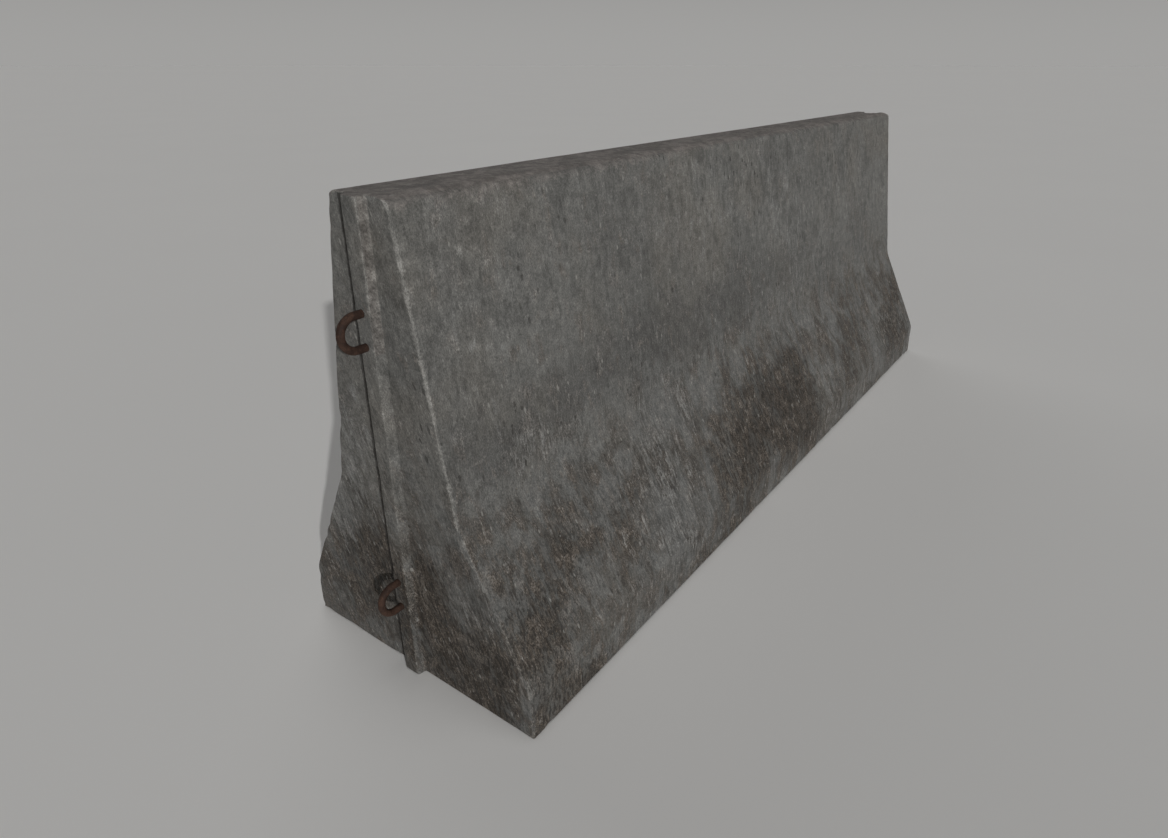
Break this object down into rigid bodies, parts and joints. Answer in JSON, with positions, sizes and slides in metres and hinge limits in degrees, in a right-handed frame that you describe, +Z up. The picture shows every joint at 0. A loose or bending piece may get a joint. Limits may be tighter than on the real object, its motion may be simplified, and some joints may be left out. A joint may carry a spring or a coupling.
{
  "type": "concrete jersey barrier",
  "caption": "Precast concrete jersey barrier with a tongue on one end, a groove in the other, steel tie loops at both ends and a reinforcing cage inside.",
  "frame": {"origin": "on the ground, in the middle of the overall footprint, end loops included", "axes": "+X along the barrier from the tongue end to the groove end, +Z up, the two traffic faces towards -Y and +Y"},
  "size_m": [2.2366, 0.542, 0.813],
  "materials": {
    "concrete": "matte",
    "rusty_steel": "matte",
    "cage_steel": "matte"
  },
  "bodies": {
    "root": {"concrete_body": "concrete", "loop_near_upper": "rusty_steel", "loop_near_lower": "rusty_steel", "loop_far_upper": "rusty_steel", "loop_far_lower": "rusty_steel", "bar_crown": "cage_steel", "bar_upper_left": "cage_steel", "bar_upper_right": "cage_steel", "bar_middle_left": "cage_steel", "bar_middle_right": "cage_steel", "bar_slope_left": "cage_steel", "bar_slope_right": "cage_steel", "bar_toe_left": "cage_steel", "bar_toe_right": "cage_steel", "stirrup_1": "cage_steel", "stirrup_2": "cage_steel", "stirrup_3": "cage_steel", "stirrup_4": "cage_steel", "stirrup_5": "cage_steel", "stirrup_6": "cage_steel", "stirrup_7": "cage_steel"}
  },
  "joints": []
}
